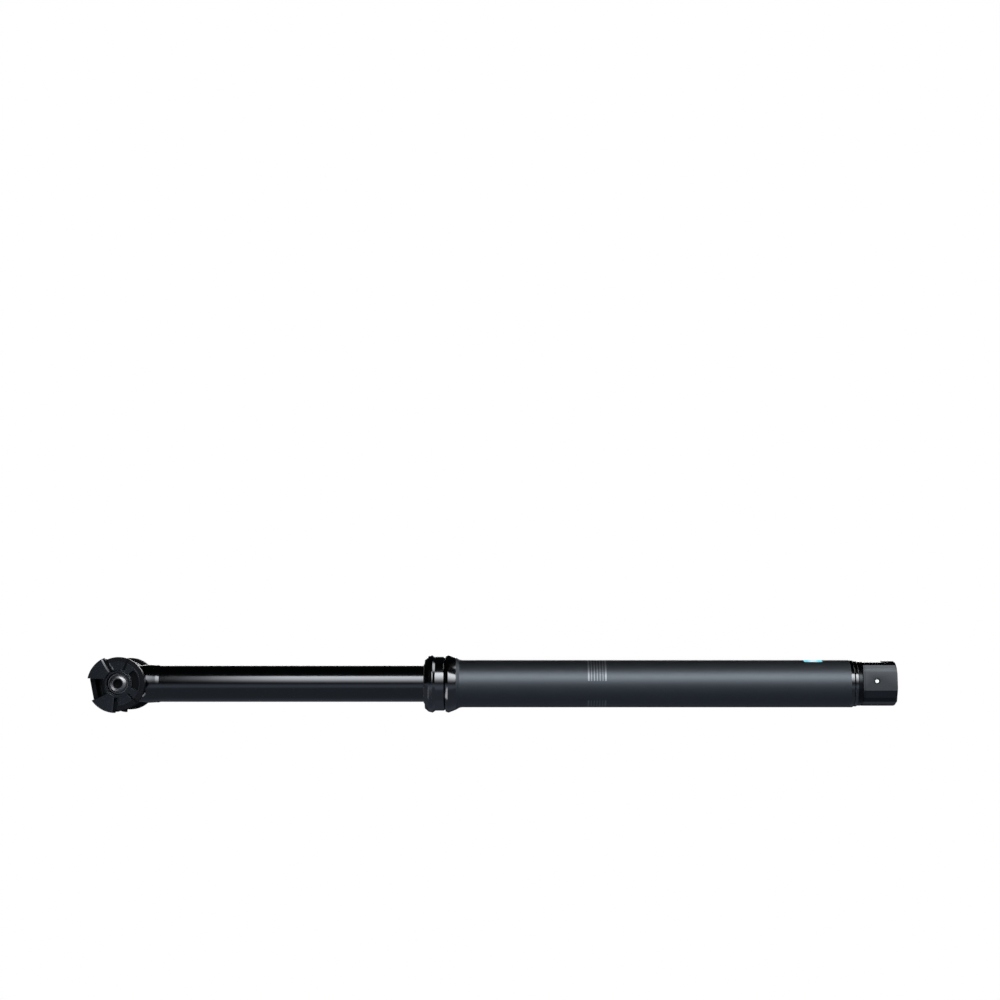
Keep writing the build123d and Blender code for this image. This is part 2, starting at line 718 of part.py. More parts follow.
def build():
    """Make every piece and return it under its node's name."""
    ring_r = cartridge_bore_r - run_gap - piston_ring_d + seat_gap
    bush_inner = stanchion_r + run_gap
    bush_outer = mast_bore_r - seat_gap
    bolt_hole_r = bolt_r + bolt_clear
    nut_hole_r = nut_sleeve_r + bolt_clear
    return {
        "mast_tube": mast(),
        "collar_nut": collar_nut(),
        "wiper_seal": wiper(),
        "collar_seal_ring": seal_ring(
            stanchion_r + run_gap, seal_section_d - seat_gap, nut_base_z + seal_h),
        "upper_bush": split_bush(bush_outer, bush_inner, upper_bush_low_z, nut_thread_base_z - seat_gap),
        "top_out_bumper": pipe(
            bush_outer, bush_outer - bumper_wall, top_bumper_low_z, upper_bush_low_z),
        "bottom_out_bumper": pipe(
            bush_outer, bush_outer - 2 * bumper_wall, spigot_top_z, spigot_top_z + bottom_bumper_h),
        "end_ring": end_ring(),
        "foot_housing": foot_housing(),
        "cable_stop": cable_stop(),
        "lever_pivot_pin": pivot_pin(),
        "actuator_lever": actuator_lever(),
        "cable_barrel": cable_barrel(),
        "barrel_screw": barrel_screw(),
        "release_pin": release_pin(),
        "cartridge_rod": cartridge_rod(),
        "cartridge_piston": piston(),
        "piston_ring": seal_ring(ring_r, piston_ring_d - seat_gap, (piston_low_z + piston_top_z) / 2),
        "cartridge_tube": pipe(cartridge_r, cartridge_bore_r, cartridge_low_z, cap_low_z),
        "cartridge_seal_head": cartridge_seal_head(),
        "cartridge_cap": cartridge_cap(),
        "gas_valve": gas_valve(),
        "floating_piston": floating_piston(),
        "floating_ring": seal_ring(ring_r, piston_ring_d - seat_gap, (float_low_z + float_top_z) / 2),
        "stanchion_tube": stanchion(),
        "lower_bush": split_bush(
            mast_bore_r - run_gap, stanchion_r - lower_bush_recess + seat_gap,
            stanchion_low_z, stanchion_low_z + lower_bush_len),
        "anti_rotation_keys": keys(),
        "post_head": post_head(),
        "inner_jaw_right": in_clamp(inner_jaw()),
        "inner_jaw_left": in_clamp(mirrored(inner_jaw())),
        "outer_jaw_right": in_clamp(outer_jaw(bolt_hole_r)),
        "outer_jaw_left": in_clamp(mirrored(outer_jaw(nut_hole_r))),
        "clamp_bolt": in_clamp(clamp_bolt()),
        "clamp_nut": in_clamp(clamp_nut()),
        "bolt_washer": in_clamp(washer(bolt_hole_r)),
        "nut_washer": in_clamp(mirrored(washer(nut_hole_r))),
    }


os.makedirs("parts", exist_ok=True)
for name, shape in build().items():
    export_step(shape, f"parts/{name}.step")
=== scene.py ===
"""Looks of a dropper seatpost: tubes, collar, saddle clamp and foot in a plain studio.

Lengths are in metres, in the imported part's frame: Z is the post's axis with the saddle end up, +X is
forward and +Y is the side of the clamp bolt's head. The camera looks at that side with the post lying
across the picture, its saddle end to the left.
"""

import json
import logging
import math
from dataclasses import dataclass
from enum import Enum
from typing import Callable, Iterable, Mapping, Optional, Sequence, Union

import bpy
from mathutils import Matrix, Vector


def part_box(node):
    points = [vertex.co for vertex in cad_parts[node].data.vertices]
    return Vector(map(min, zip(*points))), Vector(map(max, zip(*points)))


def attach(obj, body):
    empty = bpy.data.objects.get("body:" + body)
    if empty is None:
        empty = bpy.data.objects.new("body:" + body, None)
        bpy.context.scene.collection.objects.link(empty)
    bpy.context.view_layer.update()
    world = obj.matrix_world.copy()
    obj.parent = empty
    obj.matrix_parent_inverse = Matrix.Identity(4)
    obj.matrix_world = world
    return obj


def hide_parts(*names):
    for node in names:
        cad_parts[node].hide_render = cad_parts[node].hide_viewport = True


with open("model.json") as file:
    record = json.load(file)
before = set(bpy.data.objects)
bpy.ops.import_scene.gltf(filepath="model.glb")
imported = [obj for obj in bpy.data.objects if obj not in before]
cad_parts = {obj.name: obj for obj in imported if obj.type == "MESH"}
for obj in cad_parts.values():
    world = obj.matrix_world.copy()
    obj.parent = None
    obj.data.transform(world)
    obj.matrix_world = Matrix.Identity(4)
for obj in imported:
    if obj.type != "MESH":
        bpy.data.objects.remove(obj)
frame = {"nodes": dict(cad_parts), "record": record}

MM = 0.001
WELD = 0.0015 * MM
CREASE = math.radians(28)
FOOT_TURN = math.radians(7.5)
JAW_PLATE_H = 0.9 * MM
LOG = logging.getLogger("seatpost")

Colour = tuple[float, float, float]
Term = Union["Value", float]
COLLAR_COLOUR: Colour = (0.062, 0.063, 0.066)
GLOSS = 0.13


def shade(red: float, green: float, blue: float) -> Colour:
    """Turn a colour as a screen shows it, 0 to 255, into the linear values of a shader.

    Args:
        red: Screen value of the red part.
        green: Screen value of the green part.
        blue: Screen value of the blue part.

    Returns:
        The same colour in linear light.
    """
    linear = []
    for part in (red, green, blue):
        value = part / 255
        linear.append(value / 12.92 if value <= 0.04045 else ((value + 0.055) / 1.055) ** 2.4)
    return linear[0], linear[1], linear[2]


class Value:
    """A number in a shader, so that node maths reads like maths."""

    def __init__(self, graph: "Graph", socket: bpy.types.NodeSocket) -> None:
        """Keep the socket that the number comes out of."""
        self.graph = graph
        self.socket = socket

    def __add__(self, other: Term) -> "Value":
        """Sum of two numbers."""
        return self.graph.math("ADD", self, other)

    def __sub__(self, other: Term) -> "Value":
        """This number less another."""
        return self.graph.math("SUBTRACT", self, other)

    def __mul__(self, other: Term) -> "Value":
        """Product of two numbers."""
        return self.graph.math("MULTIPLY", self, other)

    def __rsub__(self, other: float) -> "Value":
        """A plain number less this one."""
        return self.graph.math("SUBTRACT", other, self)

    def __neg__(self) -> "Value":
        """This number with its sign turned."""
        return self * -1.0

    def __abs__(self) -> "Value":
        """Size of this number."""
        return self.graph.math("ABSOLUTE", self)


class Graph:
    """The node tree of a material or the world."""

    def __init__(self, tree: bpy.types.NodeTree) -> None:
        """Work on a tree that exists."""
        self.tree = tree

    @classmethod
    def of_material(cls, name: str) -> tuple[bpy.types.Material, "Graph"]:
        """Make a material, and give its node tree with it."""
        made = bpy.data.materials.new(name)
        made.use_nodes = True
        return made, cls(made.node_tree)

    def node(
        self,
        kind: str,
        settings: Optional[Mapping[str, object]] = None,
        inputs: Optional[Mapping[Union[str, int], object]] = None,
    ) -> bpy.types.Node:
        """Add a node, set it up and join its inputs.

        Args:
            kind: Blender's name for the node.
            settings: Properties, set before any input.
            inputs: Sockets, values or plain constants by socket name or number.

        Returns:
            The new node.
        """
        made = self.tree.nodes.new(kind)
        for name, setting in (settings or {}).items():
            setattr(made, name, setting)
        for name, source in (inputs or {}).items():
            self.feed(made.inputs[name], source)
        return made

    def feed(self, socket: bpy.types.NodeSocket, source: object) -> None:
        """Join a socket to another, or set its constant.

        Args:
            socket: The input to fill.
            source: A Value, an output socket, or a constant.
        """
        if isinstance(source, Value):
            source = source.socket
        if isinstance(source, bpy.types.NodeSocket):
            self.tree.links.new(source, socket)
        elif isinstance(source, tuple) and len(source) == 3 and socket.type == "RGBA":
            socket.default_value = (*source, 1.0)
        else:
            socket.default_value = source

    def math(self, operation: str, *terms: Term) -> Value:
        """Work out one step of maths on numbers."""
        made = self.node("ShaderNodeMath", {"operation": operation}, dict(enumerate(terms)))
        return Value(self, made.outputs[0])

    def turn(self, x: Value, y: Value) -> Value:
        """Turn about the post's axis: 0 at the camera's side, and growing towards -X."""
        return self.math("ARCTAN2", -x, y)

    def length(self, first: Value, second: Value) -> Value:
        """Length of a line from its two legs."""
        return self.math("SQRT", first * first + second * second)

    def step(self, value: Value, low: float, high: float) -> Value:
        """Rise smoothly from 0 to 1 as a number goes from one bound to another.

        Args:
            value: The number that is looked at.
            low: Where the result is still 0.
            high: Where the result has reached 1.

        Returns:
            The smooth step.
        """
        settings = {"interpolation_type": "SMOOTHSTEP"}
        made = self.node("ShaderNodeMapRange", settings, {0: value, 1: low, 2: high})
        return Value(self, made.outputs[0])

    def band(self, value: Value, low: float, high: float, soft: float) -> Value:
        """Be 1 between two bounds and 0 outside them, with soft ends.

        Args:
            value: The number that is looked at.
            low: Lower bound.
            high: Upper bound.
            soft: Width of each soft end.

        Returns:
            The band.
        """
        return self.step(value, low - soft, low + soft) * (1.0 - self.step(value, high - soft, high + soft))

    def mix(self, share: Term, first: object, second: object) -> bpy.types.NodeSocket:
        """Blend two colours.

        Args:
            share: How much of the second colour shows.
            first: A colour or a socket.
            second: A colour or a socket.

        Returns:
            The blended colour's socket.
        """
        made = self.node("ShaderNodeMix", {"data_type": "RGBA"})
        self.feed(made.inputs["Factor"], share)
        self.feed(made.inputs[6], first)
        self.feed(made.inputs[7], second)
        return made.outputs[2]

    def place(self) -> tuple[bpy.types.NodeSocket, Value, Value, Value]:
        """Place on the object, as one vector and as X, Y and Z."""
        vector = self.node("ShaderNodeTexCoord").outputs["Object"]
        parts = self.node("ShaderNodeSeparateXYZ", inputs={0: vector})
        x, y, z = (Value(self, parts.outputs[index]) for index in range(3))
        return vector, x, y, z

    def noise(self, vector: bpy.types.NodeSocket, size: float, detail: float = 2.0) -> Value:
        """Cloudy noise from 0 to 1, with grains of a real size.

        Args:
            vector: Place on the object.
            size: Size of one grain in metres.
            detail: How many finer layers lie on the first.

        Returns:
            The noise.
        """
        made = self.node("ShaderNodeTexNoise", inputs={
            "Vector": vector, "Scale": 1 / size, "Detail": detail})
        return Value(self, made.outputs[0])

    def lines(self, along: Value, size: float) -> Value:
        """Noise that changes along one number only, as tool marks do.

        Args:
            along: The number that the marks follow one another on.
            size: Spacing of the marks in metres.

        Returns:
            The noise.
        """
        made = self.node(
            "ShaderNodeTexNoise", {"noise_dimensions": "1D"}, {"W": along, "Scale": 1 / size, "Detail": 1.0})
        return Value(self, made.outputs[0])


class Grain(Enum):
    """How the surface was worked before it was coloured."""

    BLASTED = "blasted"
    TURNED = "turned"


@dataclass
class Surface:
    """What a finish feeds its shader: sockets where it varies, and constants where it doesn't."""

    colour: object
    roughness: Value
    height: Value
    depth: float
    metal: Term


@dataclass(frozen=True)
class Finish:
    """A finish of the post, with a relief too fine to model."""

    name: str
    colour: Colour
    roughness: float

    def surface(self, graph: Graph) -> Surface:
        """Work out what varies over the surface.

        Args:
            graph: The material's tree.

        Returns:
            What feeds the shader.
        """
        raise NotImplementedError

    def scaled(self, share: float) -> Colour:
        """Give the finish's own colour, made darker or lighter."""
        red, green, blue = self.colour
        return red * share, green * share, blue * share

    def material(self) -> bpy.types.Material:
        """Build the material.

        Returns:
            The finished material.
        """
        made, graph = Graph.of_material(self.name)
        surface = self.surface(graph)
        bump = graph.node("ShaderNodeBump", inputs={
            "Strength": 1.0, "Distance": surface.depth, "Height": surface.height})
        shader = graph.tree.nodes["Principled BSDF"]
        graph.feed(shader.inputs["Base Color"], surface.colour)
        graph.feed(shader.inputs["Roughness"], surface.roughness)
        graph.feed(shader.inputs["Normal"], bump.outputs[0])
        graph.feed(shader.inputs["Metallic"], surface.metal)
        return made


@dataclass(frozen=True)
class Anodised(Finish):
    """Dyed anodised aluminium, a dark metal with a fine grain and faint handling marks."""

    grain: Grain
    grain_size: float = 0.12 * MM
    grain_depth: float = 0.0015 * MM
    grain_tint: float = 0.35
    cloud_size: float = 9 * MM
    cloud_tint: float = 0.3
    lighter_share: float = 1.25
    smudge: float = 0.06

    def surface(self, graph: Graph) -> Surface:
        """Work out the grain and the handling marks.

        Args:
            graph: The material's tree.

        Returns:
            What feeds the shader.
        """
        vector, _, _, z = graph.place()
        cloud = graph.noise(vector, self.cloud_size, 4.0)
        if self.grain is Grain.BLASTED:
            height = graph.noise(vector, self.grain_size, 3.0)
        else:
            height = graph.lines(z, self.grain_size)
        tint = height * self.grain_tint + cloud * self.cloud_tint
        wiped = (cloud - 0.5) * self.smudge + height * (self.smudge / 2)
        colour = graph.mix(tint, self.colour, self.scaled(self.lighter_share))
        return Surface(colour, wiped + self.roughness, height, self.grain_depth, 1.0)


@dataclass(frozen=True)
class MastFinish(Anodised):
    """The mast's matte finish, its glossy collar, and the plain marks printed on it."""

    soft: float = 0.04 * MM
    soft_turn: float = 0.01
    collar_from: float = 4.0 * MM
    end_below: float = -259.4 * MM
    cover: float = 0.8
    print_colour: Colour = shade(108, 111, 115)
    line_z: tuple[float, float] = (-84.5 * MM, -95.9 * MM)
    line_w: float = 1.1 * MM
    tick_w: float = 0.5 * MM
    tick_gap: float = 1.9 * MM
    tick_margin: float = 1.4 * MM
    front_angle: tuple[float, float] = (math.radians(6.6), math.radians(118))
    rear_angle: tuple[float, float] = (math.radians(-118), math.radians(-45))
    rear_share: float = 0.7
    bar_z: tuple[float, float] = (-241.2 * MM, -229.0 * MM)
    bar_angle: tuple[float, float] = (math.radians(66), math.radians(118))
    bar_colour: Colour = shade(96, 184, 202)
    bar_middle: Colour = shade(196, 216, 226)
    middle_share: float = 0.3
    middle_soft_share: float = 0.12

    def surface(self, graph: Graph) -> Surface:
        """Add the collar's gloss and the printed marks to the matte finish.

        Args:
            graph: The material's tree.

        Returns:
            What feeds the shader.
        """
        surface = super().surface(graph)
        _, x, y, z = graph.place()
        turn, soft = graph.turn(x, y), self.soft
        collar = graph.step(z, self.collar_from - soft, self.collar_from + soft)
        collar = collar + graph.step(z, self.end_below + soft, self.end_below - soft)
        upper, lower = self.line_z
        first, last = (graph.band(z, at - self.line_w / 2, at + self.line_w / 2, soft) for at in self.line_z)
        beat = graph.math("PINGPONG", z - upper, self.tick_gap / 2)
        ticks = 1.0 - graph.step(beat, self.tick_w / 2 - soft, self.tick_w / 2 + soft)
        ticks = ticks * graph.band(z, lower + self.tick_margin, upper - self.tick_margin, soft)
        shown = graph.band(turn, *self.front_angle, self.soft_turn)
        shown = shown + graph.band(turn, *self.rear_angle, self.soft_turn) * self.rear_share
        colour = graph.mix((first + last + ticks) * shown * self.cover, surface.colour, self.print_colour)
        low, high = self.bar_z
        inset, fade = (high - low) * self.middle_share, (high - low) * self.middle_soft_share
        bar = graph.band(z, low, high, soft) * graph.band(turn, *self.bar_angle, self.soft_turn)
        middle = graph.band(z, low + inset, high - inset, fade) * self.cover
        colour = graph.mix(bar, colour, graph.mix(middle, self.bar_colour, self.bar_middle))
        plain = 1.0 - collar
        surface.colour = graph.mix(collar, colour, COLLAR_COLOUR)
        surface.roughness = surface.roughness * plain + collar * GLOSS
        surface.height = surface.height * plain
        surface.metal = 1.0 - bar
        return surface


@dataclass(frozen=True)
class JawFinish(Anodised):
    """The jaws' finish: worked faces, with shade painted dark into the recesses behind them, which are also
    left rougher.
    """

    recess_from: float = 0.35 * MM
    recess_to: float = 1.1 * MM
    recess_shade_share: float = 0.22
    recess_dull: float = 0.15

    def surface(self, graph: Graph) -> Surface:
        """Paint shade on what lies behind a jaw's outer face, and make it rougher.

        Args:
            graph: The material's tree.

        Returns:
            What feeds the shader.
        """
        surface = super().surface(graph)
        _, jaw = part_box("outer_jaw_right")
        face = jaw.y - JAW_PLATE_H
        _, _, y, _ = graph.place()
        behind = graph.step(face - abs(y), self.recess_from, self.recess_to)
        # painted shade: the recesses behind the outer face are darkened in colour, where shade would fall
        surface.colour = graph.mix(behind, surface.colour, self.scaled(self.recess_shade_share))
        surface.roughness = surface.roughness + behind * self.recess_dull
        return surface


@dataclass(frozen=True)
class FootFinish(Anodised):
    """The foot's finish, with shade painted dark on the turned neck above the flats and in a ring round the
    pin.
    """

    soft: float = 0.2 * MM
    painted_shade_share: float = 0.1
    neck_from: float = -269.2 * MM
    neck_shade_share: float = 0.2
    pin_z: float = -276.7 * MM
    ring: tuple[float, float] = (1.3 * MM, 2.1 * MM)
    pin_ring_shade_share: float = 0.45

    def surface(self, graph: Graph) -> Surface:
        """Paint shade on the neck and in the ring round the pin.

        Args:
            graph: The material's tree.

        Returns:
            What feeds the shader.
        """
        surface = super().surface(graph)
        _, x, y, z = graph.place()
        neck = graph.step(z, self.neck_from - self.soft, self.neck_from + self.soft) * self.neck_shade_share
        across = x * math.cos(FOOT_TURN) + y * math.sin(FOOT_TURN)
        away = graph.length(across, z - self.pin_z)
        ring = graph.band(away, *self.ring, self.soft) * self.pin_ring_shade_share
        # painted shade: the neck above the flats and a ring round the pin's recess are darkened in colour,
        # where shade would fall
        surface.colour = graph.mix(
            graph.math("MAXIMUM", neck, ring), surface.colour, self.scaled(self.painted_shade_share))
        return surface


@dataclass(frozen=True)
class Steel(Finish):
    """Ground, blackened or bright metal with turning marks about the Y axis."""

    mark_size: float = 0.1 * MM
    mark_depth: float = 0.001 * MM
    mark_dull: float = 0.06
    cloud_size: float = 2.5 * MM
    cloud_dull: float = 0.12
    darker_share: float = 0.7

    def surface(self, graph: Graph) -> Surface:
        """Work out the turning marks and a faint cloudiness.

        Args:
            graph: The material's tree.

        Returns:
            What feeds the shader.
        """
        vector, _, y, _ = graph.place()
        marks = graph.lines(y, self.mark_size)
        cloud = graph.noise(vector, self.cloud_size, 3.0)
        colour = graph.mix(cloud, self.colour, self.scaled(self.darker_share))
        roughness = cloud * self.cloud_dull + marks * self.mark_dull + self.roughness
        return Surface(colour, roughness, marks + cloud, self.mark_depth, 1.0)


@dataclass(frozen=True)
class SocketSteel(Steel):
    """Blackened steel, with shade painted dark inside a bolt's socket."""

    soft: float = 0.15 * MM
    socket_r: float = 3.2 * MM
    socket_shade: Colour = (0.012, 0.012, 0.013)

    def surface(self, graph: Graph) -> Surface:
        """Paint shade on what lies near the bolt's axis, inside its socket.

        Args:
            graph: The material's tree.

        Returns:
            What feeds the shader.
        """
        surface = super().surface(graph)
        low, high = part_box("clamp_bolt")
        _, x, _, z = graph.place()
        away = graph.length(x, z - (low.z + high.z) / 2)
        outside = graph.step(away, self.socket_r - self.soft, self.socket_r + self.soft)
        # painted shade: the socket's inside is given a near-black colour, where shade would fall in it
        surface.colour = graph.mix(outside, self.socket_shade, surface.colour)
        return surface


@dataclass(frozen=True)
class Rubber(Finish):
    """Moulded black rubber or dark plastic with a faint bloom."""

    bloom_size: float = 1.8 * MM
    bloom_dull: float = 0.2
    bloom_share: float = 1.8
    bloom_grey: float = 0.004
    pore_size: float = 0.15 * MM
    pore_depth: float = 0.003 * MM

    def surface(self, graph: Graph) -> Surface:
        """Work out the bloom and the pores.

        Args:
            graph: The material's tree.

        Returns:
            What feeds the shader.
        """
        vector, _, _, _ = graph.place()
        bloom = graph.noise(vector, self.bloom_size, 4.0)
        pores = graph.noise(vector, self.pore_size, 2.0)
        paler = tuple(part + self.bloom_grey for part in self.scaled(self.bloom_share))
        colour = graph.mix(bloom, self.colour, paler)
        return Surface(colour, bloom * self.bloom_dull + self.roughness, pores, self.pore_depth, 0.0)


class Finishes:
    """Every finish of the post, built once."""

    fine_depth = 0.0002 * MM
    worked_depth = 0.001 * MM

    def __init__(self) -> None:
        """Build the materials."""
        fine, worked = self.fine_depth, self.worked_depth
        collar = Anodised("collar_anodised", COLLAR_COLOUR, GLOSS, Grain.TURNED, grain_depth=fine)
        self.collar_gloss = collar.material()
        finishes: Mapping[str, Finish] = {
            "gloss_black": Anodised(
                "gloss_anodised", (0.044, 0.045, 0.048), GLOSS, Grain.TURNED, grain_depth=fine),
            "matte_black": MastFinish("matte_anodised", (0.041, 0.046, 0.052), 0.46, Grain.BLASTED),
            "jaw_black": JawFinish(
                "jaw_anodised_recess_shade", (0.047, 0.05, 0.055), 0.22, Grain.BLASTED, grain_depth=worked),
            "foot_black": FootFinish(
                "foot_anodised_painted_shade", (0.0168, 0.018, 0.0198), 0.23, Grain.BLASTED, grain_depth=worked),
            "bare_aluminium": Anodised("bare_aluminium", (0.62, 0.63, 0.64), 0.3, Grain.TURNED),
            "black_steel": SocketSteel("black_steel", (0.15, 0.15, 0.155), 0.26),
            "steel": Steel("ground_steel", (0.42, 0.43, 0.44), 0.25),
            "brass": Steel("drawn_brass", (0.72, 0.52, 0.24), 0.25),
            "rubber": Rubber("moulded_rubber", (0.006, 0.006, 0.007), 0.55),
            "bush_plastic": Rubber("bush_plastic", (0.05, 0.06, 0.05), 0.45),
        }
        self.by_slot = {slot: finish.material() for slot, finish in finishes.items()}

    def dress(self, obj: bpy.types.Object, slot: str) -> None:
        """Give an object the one finish that the record's slot names."""
        obj.data.materials.clear()
        obj.data.materials.append(self.by_slot[slot])

    def dress_nodes(self, parts: Iterable[Mapping[str, str]]) -> None:
        """Give each CAD node that still shows its slot's finish.

        Args:
            parts: The record's list of nodes and slots.
        """
        for part in parts:
            node = frame["nodes"][part["node"]]
            node.data.materials.clear()
            node.data.materials.append(self.by_slot[part["material_slot"]])


@dataclass(frozen=True)
class Corner:
    """One corner of a turned profile: radius, height, and how far it is rounded."""

    radius: float
    height: float
    rounding: float = 0.0


class Lathe:
    """Models turned pieces: a profile is drawn point by point and spun about the post's axis."""

    steps = 160
    arc_steps = 6
    weld = 0.002 * MM
    reach = 0.003 * MM

    def trace(self, corners: Sequence[Corner]) -> list[Vector]:
        """Turn corners into points, with an arc in place of each rounded corner.

        Args:
            corners: The closed profile.

        Returns:
            Points in the X-Z plane.
        """
        points: list[Vector] = []
        count = len(corners)
        for index, corner in enumerate(corners):
            here = Vector((corner.radius, 0, corner.height))
            if not corner.rounding:
                points.append(here)
                continue
            back, ahead = corners[index - 1], corners[(index + 1) % count]
            to_back = (Vector((back.radius, 0, back.height)) - here).normalized()
            to_ahead = (Vector((ahead.radius, 0, ahead.height)) - here).normalized()
            half = to_back.angle(to_ahead) / 2
            centre = here + (to_back + to_ahead).normalized() * (corner.rounding / math.sin(half))
            first = here + to_back * (corner.rounding / math.tan(half)) - centre
            last = here + to_ahead * (corner.rounding / math.tan(half)) - centre
            for step in range(self.arc_steps + 1):
                towards = first.normalized().slerp(last.normalized(), step / self.arc_steps)
                points.append(centre + towards * corner.rounding)
        return points

    def spin(self, name: str, corners: Sequence[Corner]) -> bpy.types.Object:
        """Draw a closed profile and spin it into a solid ring or tube.

        Args:
            name: The new object's name.
            corners: The closed profile.

        Returns:
            The new object, with smooth and sharp edges told apart.
        """
        points = self.trace(corners)
        made = Bench.draw(points)
        made.name = name
        bpy.ops.mesh.spin(
            steps=self.steps, angle=math.tau, center=(0, 0, 0), axis=(0, 0, 1), use_auto_merge=True)
        bpy.ops.mesh.select_all(action="SELECT")
        bpy.ops.mesh.remove_doubles(threshold=self.weld)
        if points[0].x > 0:
            self._close_rings(made, points[0], points[-1])
        bpy.ops.mesh.select_all(action="SELECT")
        bpy.ops.mesh.normals_make_consistent(inside=False)
        bpy.ops.object.mode_set(mode="OBJECT")
        Bench.smooth(made)
        return made

    def _close_rings(self, made: bpy.types.Object, first: Vector, last: Vector) -> None:
        """Bridge the two open rings that the profile's ends leave."""
        bpy.ops.mesh.select_all(action="DESELECT")
        bpy.ops.object.mode_set(mode="OBJECT")
        ends = [(round(point.x, 7), round(point.z, 7)) for point in (first, last)]
        for vertex in made.data.vertices:
            radius = math.hypot(vertex.co.x, vertex.co.y)
            vertex.select = any(
                abs(radius - r) < self.reach and abs(vertex.co.z - z) < self.reach for r, z in ends)
        bpy.ops.object.mode_set(mode="EDIT")
        bpy.ops.mesh.select_mode(type="VERT")
        bpy.ops.mesh.select_mode(type="EDGE")
        bpy.ops.mesh.bridge_edge_loops()


class Bench:
    """Small jobs that any mesh may need."""

    @staticmethod
    def clear_selection() -> None:
        """Leave object mode's selection empty."""
        if bpy.context.object and bpy.context.object.mode != "OBJECT":
            bpy.ops.object.mode_set(mode="OBJECT")
        bpy.ops.object.select_all(action="DESELECT")

    @staticmethod
    def pick(obj: bpy.types.Object) -> None:
        """Select one object and make it the active one."""
        Bench.clear_selection()
        obj.select_set(True)
        bpy.context.view_layer.objects.active = obj

    @staticmethod
    def smooth(obj: bpy.types.Object, angle: float = CREASE) -> None:
        """Shade an object smooth, with edges sharper than an angle kept crisp."""
        Bench.pick(obj)
        bpy.ops.object.shade_smooth_by_angle(angle=angle)

    @staticmethod
    def bevel(
        obj: bpy.types.Object, width: float, segments: int = 3, angle: float = math.radians(32)
    ) -> None:
        """Round every edge sharper than an angle.

        Args:
            obj: The object to work on.
            width: Width of the rounded edge.
            segments: Faces across it.
            angle: Edges flatter than this stay as they are.
        """
        Bench.pick(obj)
        modifier = obj.modifiers.new("edge", "BEVEL")
        modifier.width = width
        modifier.segments = segments
        modifier.limit_method = "ANGLE"
        modifier.angle_limit = angle
        modifier.use_clamp_overlap = True
        modifier.harden_normals = False
        bpy.ops.object.modifier_apply(modifier=modifier.name)

    @staticmethod
    def calm(obj: bpy.types.Object) -> None:
        """Let big faces rule the shading at their edges, so that flats look flat."""
        Bench.pick(obj)
        modifier = obj.modifiers.new("weight", "WEIGHTED_NORMAL")
        modifier.keep_sharp = True
        bpy.ops.object.modifier_apply(modifier=modifier.name)

    @staticmethod
    def combine(obj: bpy.types.Object, tool: bpy.types.Object, operation: str) -> None:
        """Cut a tool's shape out of an object, or join it on, and clear the tool away.

        Args:
            obj: The object that stays.
            tool: The object that is used up.
            operation: DIFFERENCE or UNION.
        """
        Bench.pick(obj)
        modifier = obj.modifiers.new("tool", "BOOLEAN")
        modifier.operation = operation
        modifier.object = tool
        bpy.ops.object.modifier_apply(modifier=modifier.name)
        bpy.data.objects.remove(tool, do_unlink=True)

    @staticmethod
    def select_where(obj: bpy.types.Object, wanted: Callable[[Vector], bool]) -> None:
        """Open an object's mesh with only the wanted vertices selected.

        Args:
            obj: The object to open.
            wanted: Says whether a vertex at this place is wanted.
        """
        Bench.pick(obj)
        bpy.ops.object.mode_set(mode="EDIT")
        bpy.ops.mesh.select_mode(type="VERT")
        bpy.ops.mesh.select_all(action="DESELECT")
        bpy.ops.object.mode_set(mode="OBJECT")
        for vertex in obj.data.vertices:
            vertex.select = wanted(vertex.co)
        bpy.ops.object.mode_set(mode="EDIT")

    @staticmethod
    def draw(points: Sequence[Vector]) -> bpy.types.Object:
        """Draw a chain of edges, and leave its mesh open with all of it selected.

        Args:
            points: The places that it goes through.

        Returns:
            The chain.
        """
        Bench.clear_selection()
        bpy.ops.mesh.primitive_plane_add(size=MM, location=points[0])
        made = bpy.context.object
        bpy.ops.object.transform_apply(location=True)
        bpy.ops.object.mode_set(mode="EDIT")
        bpy.ops.mesh.select_mode(type="VERT")
        bpy.ops.mesh.select_all(action="SELECT")
        bpy.ops.mesh.merge(type="CENTER")
        for before, after in zip(points, points[1:]):
            bpy.ops.mesh.extrude_region_move(TRANSFORM_OT_translate={"value": after - before})
        bpy.ops.mesh.select_all(action="SELECT")
        return made

    @staticmethod
    def prism(outline: Sequence[tuple[float, float]], low: float, high: float) -> bpy.types.Object:
        """Draw a closed outline in X and Y and pull it up along Z.

        Args:
            outline: Its corners.
            low: Height of its lower face.
            high: Height of its upper face.

        Returns:
            The bar.
        """
        made = Bench.draw([Vector((x, y, low)) for x, y in outline])
        bpy.ops.mesh.edge_face_add()
        bpy.ops.mesh.extrude_region_move(TRANSFORM_OT_translate={"value": (0, 0, high - low)})
        bpy.ops.mesh.select_all(action="SELECT")
        bpy.ops.mesh.normals_make_consistent(inside=False)
        bpy.ops.object.mode_set(mode="OBJECT")
        return made

    @staticmethod
    def from_node(node: str, name: str) -> bpy.types.Object:
        """Copy a CAD node's mesh, join its loose triangles and clear the flat ones' seams.

        Args:
            node: The CAD node.
            name: The copy's name.

        Returns:
            The copy, at the origin.
        """
        source = frame["nodes"][node]
        made = bpy.data.objects.new(name, source.data.copy())
        bpy.context.scene.collection.objects.link(made)
        Bench.pick(made)
        bpy.ops.object.mode_set(mode="EDIT")
        bpy.ops.mesh.select_all(action="SELECT")
        bpy.ops.mesh.remove_doubles(threshold=WELD)
        bpy.ops.mesh.dissolve_limited(angle_limit=math.radians(0.4))
        bpy.ops.object.mode_set(mode="OBJECT")
        return made


